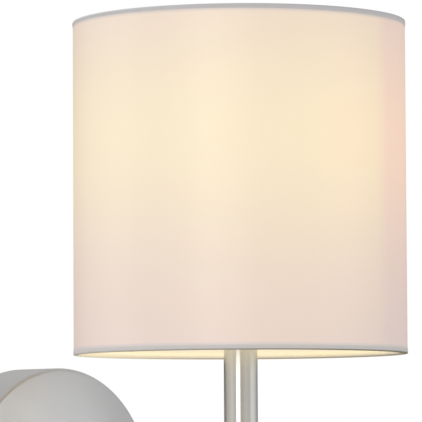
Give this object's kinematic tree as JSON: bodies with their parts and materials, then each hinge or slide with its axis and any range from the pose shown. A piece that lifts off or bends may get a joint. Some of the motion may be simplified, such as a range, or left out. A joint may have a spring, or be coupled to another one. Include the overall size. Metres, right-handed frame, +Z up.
{
  "type": "wall lamp",
  "caption": "Hard-wired wall lamp: round plate, swivel knuckle, swinging arm with an upright stem, lampholder and bulb inside a fabric drum shade.",
  "frame": {"origin": "centre of the wall plate's back face, on the wall", "axes": "+Z up, +Y into the wall, -Y out into the room, +X to the right of someone facing the wall"},
  "size_m": [0.179, 0.2665, 0.316],
  "materials": {
    "satin_nickel": "satin nickel plate, finely brushed",
    "zinc_steel": "zinc-plated steel",
    "brass": "plain brass",
    "white_plastic": "matt white moulding",
    "white_gloss": "glossy white moulding",
    "opal": "opal diffuser, lit",
    "board": "white-coated circuit board",
    "bulb_metal": "nickel-plated screw cap",
    "black_glass": "black vitrite",
    "ceramic_white": "unglazed ceramic",
    "nylon": "grey nylon",
    "cable_clear": "white flexible sheath",
    "lead_earth": "green and yellow insulation",
    "lead_brown": "brown insulation",
    "white_wire": "white coated steel wire",
    "shade_cloth": "plain-weave white cotton",
    "shade_backing": "translucent white styrene backing",
    "trim_tape_pale": "pale grey-white edge tape",
    "trim_tape_grey": "light grey edge tape"
  },
  "bodies": {
    "wall_side": {"cable_in_neck": "cable_clear", "earth_lead": "lead_earth", "earth_screw": "brass", "friction_washer": "nylon", "lower_barrel": "satin_nickel", "lower_cap": "satin_nickel", "mounting_strap": "zinc_steel", "neck": "satin_nickel", "neck_nut": "zinc_steel", "neck_washer": "zinc_steel", "pivot_nipple": "zinc_steel", "pivot_nut_lower": "zinc_steel", "pivot_nut_upper": "zinc_steel", "plate_screws": "satin_nickel", "stop_pin": "zinc_steel", "switch_housing": "white_plastic", "switch_lead_lamp": "lead_brown", "switch_lead_live": "lead_brown", "switch_pin": "zinc_steel", "switch_tabs": "brass", "terminal_block": "white_plastic", "terminal_screws": "brass", "wall_plate": "satin_nickel", "wave_washer": "zinc_steel"},
    "arm": {"upper_barrel": "satin_nickel", "upper_cap": "satin_nickel", "arm_tube": "satin_nickel", "elbow": "satin_nickel", "elbow_cap": "satin_nickel", "elbow_screw": "zinc_steel", "stem_tube": "satin_nickel", "cable_in_arm": "cable_clear", "stem_bush": "zinc_steel", "holder_nipple": "zinc_steel", "holder_nut": "zinc_steel", "holder_cap": "white_plastic", "holder_body": "white_plastic", "holder_seat": "ceramic_white", "screw_shell": "brass", "centre_contact": "brass", "shade_ring_lower": "white_plastic", "shade_ring_upper": "white_plastic", "bulb_tip": "brass", "bulb_insulator": "black_glass", "bulb_cap": "bulb_metal", "bulb_body": "white_gloss", "led_board": "board", "led_driver": "board", "bulb_dome": "opal", "shade_hub": "white_wire", "shade_spokes": "white_wire", "bottom_wire": "white_wire", "top_wire": "white_wire", "shade_fabric": "shade_cloth", "shade_liner": "shade_backing", "bottom_trim": "trim_tape_pale", "top_trim": "trim_tape_grey"},
    "rocker": {"switch_rocker": "white_gloss"}
  },
  "joints": [
    {"name": "arm_swing", "type": "hinge", "parent": "wall_side", "child": "arm", "pos_m": [0, -0.063, 0], "axis": [0, 0, 1], "range_deg": [-70, 70]},
    {"name": "switch_rock", "type": "hinge", "parent": "wall_side", "child": "rocker", "pos_m": [0, -0.033, -0.0435], "axis": [1, 0, 0], "range_deg": [0, 24]}
  ]
}
